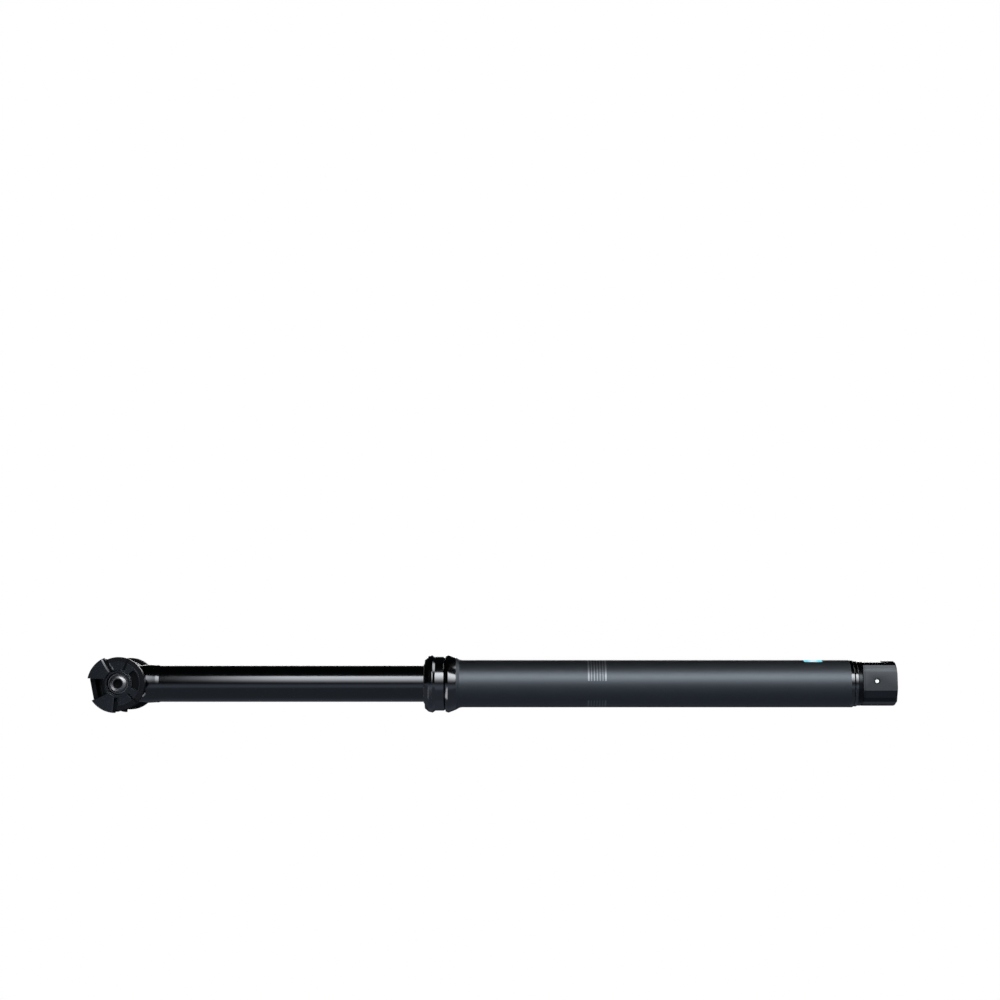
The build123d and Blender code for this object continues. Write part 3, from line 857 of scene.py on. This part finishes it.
@dataclass
class Assembly:
    """A group of pieces that one class models and dresses."""

    finishes: Finishes
    lathe: Lathe

    def finish(self, obj: bpy.types.Object, body: str, slot: str, *nodes: str) -> bpy.types.Object:
        """Dress a piece, let it ride on its body and stand for its CAD nodes.

        Args:
            obj: The finished mesh.
            body: The CAD body that it moves with.
            slot: The record's slot of its finish.
            nodes: The CAD nodes that it stands for.

        Returns:
            The same object.
        """
        self.finishes.dress(obj, slot)
        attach(obj, body)
        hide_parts(*nodes)
        LOG.info("%s: %d faces on %s", obj.name, len(obj.data.polygons), body)
        return obj

    def dressed_copy(self, node: str, body: str, slot: str, edge: float) -> bpy.types.Object:
        """Make a piece from a CAD node, with its edges broken and its curves shaded smooth.

        Args:
            node: The CAD node.
            body: The CAD body that it moves with.
            slot: The record's slot of its finish.
            edge: Width of its broken edges.

        Returns:
            The finished piece.
        """
        return self.close(Bench.from_node(node, f"{node}_piece"), node, body, slot, edge)

    def close(
        self,
        made: bpy.types.Object,
        node: str,
        body: str,
        slot: str,
        edge: float,
        crease: float = CREASE,
    ) -> bpy.types.Object:
        """Break a worked copy's edges, shade it and dress it.

        Args:
            made: The copy, worked as far as it goes.
            node: The CAD node that it stands for.
            body: The CAD body that it moves with.
            slot: The record's slot of its finish.
            edge: Width of its broken edges.
            crease: Faces that meet at less than this are shaded as one.

        Returns:
            The finished piece.
        """
        Bench.bevel(made, edge)
        Bench.smooth(made, crease)
        Bench.calm(made)
        return self.finish(made, body, slot, node)


@dataclass
class Mast(Assembly):
    """The outer tube with its flared collar, and the bevelled ring at its lower end."""

    wall: float = 2.3 * MM
    end_chamfer: float = 0.5 * MM
    flare_root: Corner = Corner(16.15 * MM, 1.7 * MM, 0.9 * MM)
    flare: Corner = Corner(17.45 * MM, 4.0 * MM)
    ridge: Corner = Corner(19.45 * MM, 9.1 * MM, 0.9 * MM)
    rim: Corner = Corner(18.6 * MM, 11.0 * MM, 0.3 * MM)
    thread_r: float = 15.02 * MM
    thread_low: float = 2.0 * MM
    radius: float = 15.8 * MM
    ring_chamfer: float = 0.4 * MM
    ring_round: float = 0.15 * MM

    def build(self) -> None:
        """Model and dress both pieces."""
        low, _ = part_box("mast_tube")
        bore = self.radius - self.wall
        tube = self.lathe.spin("mast", [
            Corner(bore, low.z),
            Corner(self.radius - self.end_chamfer, low.z),
            Corner(self.radius, low.z + self.end_chamfer, self.ring_round),
            Corner(self.radius, 0),
            self.flare_root,
            self.flare,
            self.ridge,
            self.rim,
            Corner(self.thread_r, self.rim.height),
            Corner(self.thread_r, self.thread_low),
            Corner(bore, self.thread_low),
        ])
        self.finish(tube, "mast", "matte_black", "mast_tube")
        low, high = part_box("end_ring")
        ring = self.lathe.spin("mast_end_ring", [
            Corner(bore, low.z),
            Corner(high.x - self.ring_chamfer, low.z, self.ring_round),
            Corner(high.x, low.z + self.ring_chamfer, self.ring_round),
            Corner(high.x, high.z - self.ring_chamfer, self.ring_round),
            Corner(high.x - self.ring_chamfer, high.z, self.ring_round),
            Corner(bore, high.z),
        ])
        self.finish(ring, "mast", "gloss_black", "end_ring")
        ring.data.materials[0] = self.finishes.collar_gloss


@dataclass
class Collar(Assembly):
    """The collar nut with its spanner flats, and the wiper that it holds."""

    foot_r: float = 17.3 * MM
    foot_h: float = 1.2 * MM
    waist_r: float = 18.05 * MM
    waist_h: float = 6.8 * MM
    ridge_r: float = 19.37 * MM
    ridge_h: float = 8.6 * MM
    shoulder_r: float = 18.75 * MM
    shoulder_h: float = 11.3 * MM
    top_r: float = 16.6 * MM
    rounding: float = 0.7 * MM
    flat_r: float = 17.35 * MM
    flat_edge: float = 0.12 * MM
    flats: int = 3
    first_flat: float = math.radians(35)
    wiper_r: float = 14.6 * MM
    wiper_h: float = 4.3 * MM
    lip: float = 0.8 * MM
    lip_wall: float = 0.75 * MM
    run_gap: float = 0.05 * MM
    thread_r: float = 15.0 * MM
    edge: float = 0.15 * MM
    bore_gap: float = 0.3 * MM

    def build(self) -> None:
        """Model and dress both pieces."""
        _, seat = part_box("mast_tube")
        low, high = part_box("collar_nut")
        _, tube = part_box("stanchion_tube")
        bore = tube.x + self.bore_gap
        base, top, edge = seat.z, high.z, self.edge
        nut = self.lathe.spin("collar_nut_piece", [
            Corner(bore, low.z),
            Corner(self.thread_r, low.z),
            Corner(self.thread_r, base),
            Corner(self.foot_r, base, edge),
            Corner(self.waist_r, base + self.foot_h, edge),
            Corner(self.waist_r, base + self.waist_h, self.rounding),
            Corner(self.ridge_r, base + self.ridge_h, self.rounding),
            Corner(self.shoulder_r, base + self.shoulder_h, self.rounding),
            Corner(self.top_r, top, self.rounding / 2),
            Corner(self.wiper_r, top, edge),
            Corner(self.wiper_r, top - self.wiper_h),
            Corner(bore, top - self.wiper_h),
        ])
        self.cut_flats(nut, base)
        self.finish(nut, "mast", "gloss_black", "collar_nut")
        nut.data.materials[0] = self.finishes.collar_gloss
        inner = tube.x + self.run_gap
        wiper = self.lathe.spin("wiper", [
            Corner(inner, top - self.wiper_h),
            Corner(self.wiper_r, top - self.wiper_h),
            Corner(self.wiper_r, top, edge),
            Corner(inner + 2 * self.lip_wall, top, edge),
            Corner(inner + self.lip_wall, top + self.lip, edge),
            Corner(inner, top + self.lip),
        ])
        self.finish(wiper, "mast", "rubber", "wiper_seal")

    def cut_flats(self, nut: bpy.types.Object, base: float) -> None:
        """Mill the spanner flats into the nut's waist.

        Args:
            nut: The turned nut.
            base: Height of its lower face.
        """
        low = base + self.foot_h
        height = self.waist_h - self.foot_h
        depth = self.waist_r
        for index in range(self.flats):
            turn = self.first_flat + index * math.tau / self.flats
            away = self.flat_r + depth / 2
            Bench.clear_selection()
            bpy.ops.mesh.primitive_cube_add(
                size=1,
                location=(away * math.cos(turn), away * math.sin(turn), low + height / 2),
                rotation=(0, 0, turn),
                scale=(depth, 2 * depth, height),
            )
            Bench.combine(nut, bpy.context.object, "DIFFERENCE")
        Bench.bevel(nut, self.flat_edge, 2, math.radians(40))
        Bench.smooth(nut)
        Bench.calm(nut)


@dataclass
class Stanchion(Assembly):
    """The glossy sliding tube and the forged head on top of it."""

    wall: float = 1.65 * MM
    head_edge: float = 0.3 * MM
    taper_h: float = 2.7 * MM
    taper_share: float = 0.972
    taper_reach: float = 0.05 * MM

    def build(self) -> None:
        """Model and dress both pieces."""
        low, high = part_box("stanchion_tube")
        tube = self.lathe.spin("stanchion", [
            Corner(high.x - self.wall, low.z),
            Corner(high.x, low.z),
            Corner(high.x, high.z),
            Corner(high.x - self.wall, high.z),
        ])
        self.finish(tube, "stanchion", "gloss_black", "stanchion_tube")
        head = Bench.from_node("post_head", "post_head_piece")
        level = high.z + self.taper_h
        Bench.select_where(head, lambda place: abs(place.z - level) < self.taper_reach)
        bpy.ops.transform.resize(
            value=(self.taper_share, self.taper_share, 1), center_override=(0, 0, level))
        bpy.ops.object.mode_set(mode="OBJECT")
        self.close(head, "post_head", "stanchion", "gloss_black", self.head_edge)


@dataclass
class SaddleClamp(Assembly):
    """The jaws that hold the saddle's rails, with their bolt, nut and washers."""

    edge: float = 0.55 * MM
    small_edge: float = 0.12 * MM
    tilt: float = math.radians(11.5)
    slot_angle: float = math.radians(72)
    slot_from: float = 9.4 * MM
    slot_to: float = 24.0 * MM
    slot_mouth: float = 2.3 * MM
    slot_slope: float = math.radians(26)
    head_side: float = 3.1 * MM
    side_round: float = 0.3 * MM
    head_trim: float = 0.65 * MM
    crown: Corner = Corner(4.95 * MM, 0.5 * MM, 1.6 * MM)
    land_r: float = 3.75 * MM
    land_round: float = 0.5 * MM
    mouth_r: float = 3.35 * MM
    mouth_h: float = 0.4 * MM
    mouth_round: float = 0.1 * MM
    shank_step: float = 2.55 * MM
    socket_af: float = 5.0 * MM
    socket_depth: float = 4.4 * MM
    sleeve_r: float = 5.2 * MM
    sleeve_len: float = 7.5 * MM
    head_h: float = 4.2 * MM

    def build(self) -> None:
        """Model and dress every piece of the clamp."""
        for side, sign in (("right", 1), ("left", -1)):
            self.dressed_copy(f"inner_jaw_{side}", "cradle", "jaw_black", self.edge)
            jaw = Bench.from_node(f"outer_jaw_{side}", f"outer_jaw_{side}_piece")
            self.open_slots(jaw, sign)
            self.close(jaw, f"outer_jaw_{side}", f"jaw_{side}", "jaw_black", self.edge)
        self.turn_bolt()
        self.turn_nut()
        self.dressed_copy("bolt_washer", "jaw_right", "black_steel", self.small_edge)
        self.dressed_copy("nut_washer", "jaw_left", "black_steel", self.small_edge)

    def open_slots(self, jaw: bpy.types.Object, sign: int) -> None:
        """Cut a wide shallow mouth along each upper slot of an outer jaw.

        Args:
            jaw: The jaw's copy.
            sign: 1 on the bolt's side and -1 on the nut's.
        """
        low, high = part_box("clamp_bolt")
        hub_z = (low.z + high.z) / 2
        low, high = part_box("outer_jaw_right")
        face = sign * (high.y - JAW_PLATE_H)
        middle = (self.slot_from + self.slot_to) / 2
        for turn in (self.tilt - self.slot_angle, self.tilt + self.slot_angle):
            Bench.clear_selection()
            bpy.ops.mesh.primitive_cylinder_add(
                vertices=4,
                radius=1,
                depth=1,
                location=(middle * math.sin(turn), face, hub_z + middle * math.cos(turn)),
                rotation=(0, turn, 0),
                scale=(
                    self.slot_mouth,
                    self.slot_mouth * math.tan(self.slot_slope),
                    self.slot_to - self.slot_from,
                ),
            )
            Bench.combine(jaw, bpy.context.object, "DIFFERENCE")

    def head(self, side_r: float, low: float, high: float) -> list[Corner]:
        """Outline of a low round head, from its seat up to the land round its mouth.

        Args:
            side_r: Radius of the head.
            low: Height of its seat.
            high: Height of its land.

        Returns:
            The corners, outermost first.
        """
        return [
            Corner(side_r, low),
            Corner(side_r, low + self.head_side / 2),
            Corner(side_r - self.head_trim, low + self.head_side / 2),
            Corner(side_r - self.head_trim, low + self.head_side, self.side_round),
            Corner(self.crown.radius, high - self.crown.height, self.crown.rounding),
            Corner(self.land_r, high, self.land_round),
            Corner(self.mouth_r, high, self.mouth_round),
        ]

    def turn_bolt(self) -> None:
        """Model the bolt: turned head and shank, with a six-sided socket."""
        low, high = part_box("clamp_bolt")
        side_r = (high.x - low.x) / 2
        seat = high.y - self.head_h
        shank_r = side_r - self.shank_step
        bolt = self.lathe.spin("bolt", [
            Corner(0, low.y),
            Corner(shank_r, low.y),
            Corner(shank_r, seat),
            *self.head(side_r, seat, high.y),
            Corner(self.mouth_r, high.y - self.mouth_h),
            Corner(0, high.y - self.mouth_h),
        ])
        Bench.clear_selection()
        bpy.ops.mesh.primitive_cylinder_add(
            vertices=6,
            radius=self.socket_af / math.sqrt(3),
            depth=2 * self.socket_depth,
            location=(0, 0, high.y - self.mouth_h),
        )
        Bench.combine(bolt, bpy.context.object, "DIFFERENCE")
        self.lay_across(bolt, (low.z + high.z) / 2, -1)
        self.finish(bolt, "bolt", "black_steel", "clamp_bolt")

    def turn_nut(self) -> None:
        """Model the sleeve nut, whose head is like the bolt's, with the bolt's end inside."""
        low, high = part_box("clamp_nut")
        top = -low.y
        seat = top - self.head_h
        bore = self.mouth_r
        nut = self.lathe.spin("sleeve_nut", [
            Corner(bore, seat - self.sleeve_len),
            Corner(self.sleeve_r, seat - self.sleeve_len),
            Corner(self.sleeve_r, seat),
            *self.head((high.x - low.x) / 2, seat, top)[:-1],
            Corner(bore, top, 2 * self.mouth_round),
        ])
        self.lay_across(nut, (low.z + high.z) / 2, 1)
        self.finish(nut, "jaw_left", "black_steel", "clamp_nut")

    @staticmethod
    def lay_across(obj: bpy.types.Object, height: float, turn: int) -> None:
        """Lay a turned piece across the post, from Z to Y, at the bolt's height.

        Args:
            obj: The turned piece.
            height: Height of the bolt's axis.
            turn: -1 when its head points to +Y and 1 when it points to -Y.
        """
        Bench.pick(obj)
        obj.rotation_euler = (turn * math.pi / 2, 0, 0)
        obj.location = (0, 0, height)
        bpy.ops.object.transform_apply(location=True, rotation=True)
        Bench.smooth(obj)
        Bench.calm(obj)


@dataclass
class Foot(Assembly):
    """The actuator housing at the lower end, with its lever, cable stop and pin."""

    edge: float = 0.35 * MM
    small_edge: float = 0.1 * MM
    corner_low: float = 1.2 * MM
    corner_high: float = 22.6 * MM
    crease: float = math.radians(13)
    corner: tuple[tuple[float, float], ...] = (
        (8.6 * MM, 12.6 * MM),
        (10.4 * MM, 12.2 * MM),
        (13.2 * MM, 8.0 * MM),
        (14.55 * MM, 2.6 * MM),
        (12.0 * MM, 4.4 * MM),
        (6.0 * MM, 11.0 * MM),
    )
    facet: tuple[tuple[float, float], ...] = (
        (5.17 * MM, 13.0 * MM),
        (14.5 * MM, 10.5 * MM),
        (14.5 * MM, 16.0 * MM),
        (5.17 * MM, 16.0 * MM),
    )

    def build(self) -> None:
        """Model and dress the pieces that show."""
        housing = Bench.from_node("foot_housing", "foot_housing_piece")
        low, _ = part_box("foot_housing")
        base, top = low.z + self.corner_low, low.z + self.corner_high
        for side in ((-1, -1), (-1, 1), (1, -1), (1, 1)):
            bar = Bench.prism(self.placed(self.corner, *side), base, top)
            Bench.combine(housing, bar, "UNION")
            facet = Bench.prism(self.placed(self.facet, *side), low.z - MM, top)
            Bench.combine(housing, facet, "DIFFERENCE")
        self.close(housing, "foot_housing", "mast", "foot_black", self.edge, self.crease)
        self.dressed_copy("cable_stop", "mast", "foot_black", self.small_edge)
        self.dressed_copy("lever_pivot_pin", "mast", "steel", self.small_edge)
        self.dressed_copy("actuator_lever", "lever", "steel", self.small_edge)
        self.dressed_copy("cable_barrel", "lever", "brass", self.small_edge)

    def placed(
        self, outline: Sequence[tuple[float, float]], side_x: int, side_y: int
    ) -> list[tuple[float, float]]:
        """Mirror an outline into one of the foot's corners and turn it with the flats.

        Args:
            outline: The outline in the corner of positive x and y.
            side_x: 1 or -1, the side along x.
            side_y: 1 or -1, the side along y.

        Returns:
            The outline in the post's own frame.
        """
        cos, sin = math.cos(FOOT_TURN), math.sin(FOOT_TURN)
        return [
            (side_x * x * cos - side_y * y * sin, side_x * x * sin + side_y * y * cos) for x, y in outline]


@dataclass
class Studio:
    """Floor, tent, softbox, back light and camera."""

    camera_distance: float = 1.5415
    camera_z: float = -0.0255
    camera_pitch: float = math.radians(4.5875)
    lens: float = 82.4
    floor_z: float = -1.15
    floor_size: float = 3.0
    floor_colour: Colour = (0.8, 0.8, 0.8)
    floor_roughness: float = 0.9
    floor_glow: float = 1.085
    shadow_share: float = 0.1
    ambient: Colour = (0.45, 0.46, 0.48)
    box_angles: tuple[float, float] = (math.radians(4), math.radians(48))
    box_rise: tuple[float, float] = (math.radians(3), math.radians(41))
    box_distance: float = 0.95
    box_z: tuple[float, float] = (-1.1, 0.37)
    box_fade: tuple[float, float] = (0.332, 0.188)
    box_strength: float = 11.0
    box_tint: Colour = (0.97, 0.99, 1.0)
    box_least: float = 0.03
    tent_radius: float = 2.0
    tent_z: tuple[float, float] = (-1.12, 2.45)
    tent_tint: Colour = (0.86, 0.98, 1.2)
    tent_least: float = 0.012
    below_rise: tuple[float, float] = (math.radians(-14), math.radians(-2))
    before_rise: tuple[float, float] = (math.radians(-165), math.radians(-125))
    below_level: float = 0.27
    window_angles: tuple[float, float] = (math.radians(-25), math.radians(-1))
    window_soft: float = math.radians(7)
    window_level: float = 0.4
    card_soft: float = 0.1
    kick_z: tuple[float, float] = (0.02, 0.01)
    kick_angles: tuple[float, float] = (math.radians(82), math.radians(118))
    kick_reach: tuple[float, float] = (0.55, 1.6)
    kick_level: float = 6.0
    fill_angles: tuple[float, float] = (math.radians(-75), math.radians(-20))
    fill_z: tuple[float, float] = (1.3, 2.3)
    fill_level: float = 5.0
    back_angle: float = math.radians(164)
    back_size: tuple[float, float] = (0.2, 1.5)
    back_distance: float = 1.3
    back_power: float = 3.5

    def build(self) -> None:
        """Make the whole studio."""
        self.add_world()
        self.add_floor()
        self.add_tent()
        self.add_softbox()
        self.add_back_strip()
        self.add_camera()

    @staticmethod
    def seen_direct(graph: Graph) -> Value:
        """Say whether a ray comes straight from the camera, a gloss or clear glass."""
        rays = graph.node("ShaderNodeLightPath")
        camera, gloss, glass = (
            Value(graph, rays.outputs[name])
            for name in ("Is Camera Ray", "Is Glossy Ray", "Is Transmission Ray"))
        return graph.math("MAXIMUM", camera, graph.math("MAXIMUM", gloss, glass))

    def add_world(self) -> None:
        """White backdrop, and a soft grey for the light that it gives."""
        world = bpy.data.worlds.new("studio")
        bpy.context.scene.world = world
        world.use_nodes = True
        graph = Graph(world.node_tree)
        back = world.node_tree.nodes["Background"]
        graph.feed(back.inputs["Color"], graph.mix(
            self.seen_direct(graph), self.ambient, (1.0, 1.0, 1.0)))
        back.inputs["Strength"].default_value = 1.0

    def add_floor(self) -> None:
        """A pale floor far under the post, white as seen, that still takes a soft shadow."""
        Bench.clear_selection()
        bpy.ops.mesh.primitive_plane_add(size=self.floor_size, location=(0, 0, self.floor_z))
        floor = bpy.context.object
        floor.name = "floor"
        made, graph = Graph.of_material("floor_paper")
        paper = graph.tree.nodes["Principled BSDF"]
        graph.feed(paper.inputs["Base Color"], self.floor_colour)
        graph.feed(paper.inputs["Roughness"], self.floor_roughness)
        glow = graph.node("ShaderNodeEmission", inputs={
            "Color": (1.0, 1.0, 1.0), "Strength": self.floor_glow})
        mixed = graph.node("ShaderNodeMixShader", inputs={
            0: self.seen_direct(graph) * (1 - self.shadow_share), 1: paper.outputs[0], 2: glow.outputs[0]})
        graph.feed(graph.tree.nodes["Material Output"].inputs["Surface"], mixed.outputs[0])
        floor.data.materials.append(made)

    @staticmethod
    def glow(obj: bpy.types.Object, name: str, strength: float) -> tuple[Graph, bpy.types.Node]:
        """Give a card or a softbox a glowing material and hide it from the camera.

        Args:
            obj: The card, at the origin unturned.
            name: The material's name.
            strength: How bright full colour glows.

        Returns:
            The material's tree, and its emission node.
        """
        made, graph = Graph.of_material(name)
        glow = graph.node("ShaderNodeEmission", inputs={"Strength": strength})
        graph.feed(graph.tree.nodes["Material Output"].inputs["Surface"], glow.outputs[0])
        obj.data.materials.append(made)
        obj.visible_camera = False
        return graph, glow

    @staticmethod
    def hung(angle: float, distance: float, height: float) -> Matrix:
        """Place a card or a lamp beside the post, facing it and upright.

        Args:
            angle: Turn about the post, 0 at the camera's side and growing towards -X.
            distance: How far its middle is from the post's axis.
            height: Height of its middle.

        Returns:
            Its place and turn.
        """
        along, away = Vector((0, 0, 1)), Vector((-math.sin(angle), math.cos(angle), 0))
        turn = Matrix((along.cross(away), along, away)).transposed().to_4x4()
        return Matrix.Translation(away * distance + along * height) @ turn

    def add_tent(self) -> None:
        """Dark cards above and behind the post, and grey ones below it, for its gloss to show."""
        Bench.clear_selection()
        low, high = self.tent_z
        bpy.ops.mesh.primitive_cylinder_add(
            vertices=64, radius=self.tent_radius, depth=high - low, location=(0, 0, (low + high) / 2))
        tent = bpy.context.object
        tent.name = "tent"
        bpy.ops.object.transform_apply(location=True)
        graph, glow = self.glow(tent, "tent_cards", 1.0)
        _, x, y, z = graph.place()
        turn, reach, soft = graph.turn(x, y), graph.length(x, y), self.card_soft
        below = (1.0 - graph.step(turn, *self.below_rise)) * graph.step(turn, *self.before_rise)
        window = graph.band(turn, *self.window_angles, self.window_soft)
        level = below * self.below_level + window * self.window_level + self.tent_least
        kick = graph.band(turn, *self.kick_angles, soft) * graph.band(reach, *self.kick_reach, soft)
        kick = kick * graph.step(z, *(low + height for height in self.kick_z))
        fill = graph.band(turn, *self.fill_angles, soft) * graph.band(z, *self.fill_z, soft)
        cards = kick * self.kick_level + fill * self.fill_level
        tints = (level * part + cards for part in self.tent_tint)
        tint = graph.node("ShaderNodeCombineColor", inputs=dict(zip(("Red", "Green", "Blue"), tints)))
        graph.feed(glow.inputs["Color"], tint.outputs[0])
        tent.data.materials[0].cycles.emission_sampling = "NONE"
        tent.visible_shadow = False

    def add_softbox(self) -> None:
        """A long softbox beside the post, brightest at its far edge and fading at its saddle end."""
        first, last = self.box_angles
        low, high = self.box_z
        Bench.clear_selection()
        bpy.ops.mesh.primitive_plane_add(size=1)
        box = bpy.context.object
        box.name = "softbox"
        width = 2 * self.box_distance * math.tan((last - first) / 2)
        place = self.hung((first + last) / 2, self.box_distance, (low + high) / 2)
        box.matrix_world = place @ Matrix.Diagonal((width, high - low, 1, 1))
        bpy.ops.object.transform_apply(location=True, rotation=True, scale=True)
        graph, glow = self.glow(box, "softbox_cloth", self.box_strength)
        _, x, y, z = graph.place()
        level = graph.step(graph.turn(x, y), *self.box_rise) * (1 - self.box_least) + self.box_least
        graph.feed(glow.inputs["Color"], graph.mix(
            level * graph.step(z, *self.box_fade), (0.0, 0.0, 0.0), self.box_tint))

    def add_back_strip(self) -> None:
        """Hang a slim light behind the post, which shapes it in the views from behind."""
        light = bpy.data.lights.new("back_strip", "AREA")
        light.shape = "RECTANGLE"
        light.size, light.size_y = self.back_size
        light.energy = self.back_power
        lamp = bpy.data.objects.new("back_strip", light)
        bpy.context.scene.collection.objects.link(lamp)
        lamp.matrix_world = self.hung(self.back_angle, self.back_distance, self.camera_z)
        lamp.visible_camera = False

    def add_camera(self) -> None:
        """Look at the bolt's side of the post, with the saddle end to the left."""
        data = bpy.data.cameras.new("camera")
        data.lens = self.lens
        data.sensor_width = 36
        camera = bpy.data.objects.new("camera", data)
        bpy.context.scene.collection.objects.link(camera)
        right = Vector((0, 0, -1))
        up = Vector((-math.cos(self.camera_pitch), math.sin(self.camera_pitch), 0))
        back = right.cross(up)
        place = Vector((0, self.camera_distance, self.camera_z))
        camera.matrix_world = Matrix.Translation(place) @ Matrix((right, up, back)).transposed().to_4x4()
        bpy.context.scene.camera = camera


def main() -> None:
    """Build the post's pieces and the studio, in order."""
    logging.basicConfig(level=logging.INFO, format="%(message)s")
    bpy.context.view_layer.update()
    finishes = Finishes()
    finishes.dress_nodes(frame["record"]["subparts"])
    lathe = Lathe()
    for assembly in (Mast, Collar, Stanchion, SaddleClamp, Foot):
        assembly(finishes, lathe).build()
        LOG.info("%s built", assembly.__name__)
    Studio().build()
    bpy.context.scene.view_settings.view_transform = "Standard"


if __name__ == "__main__":
    main()
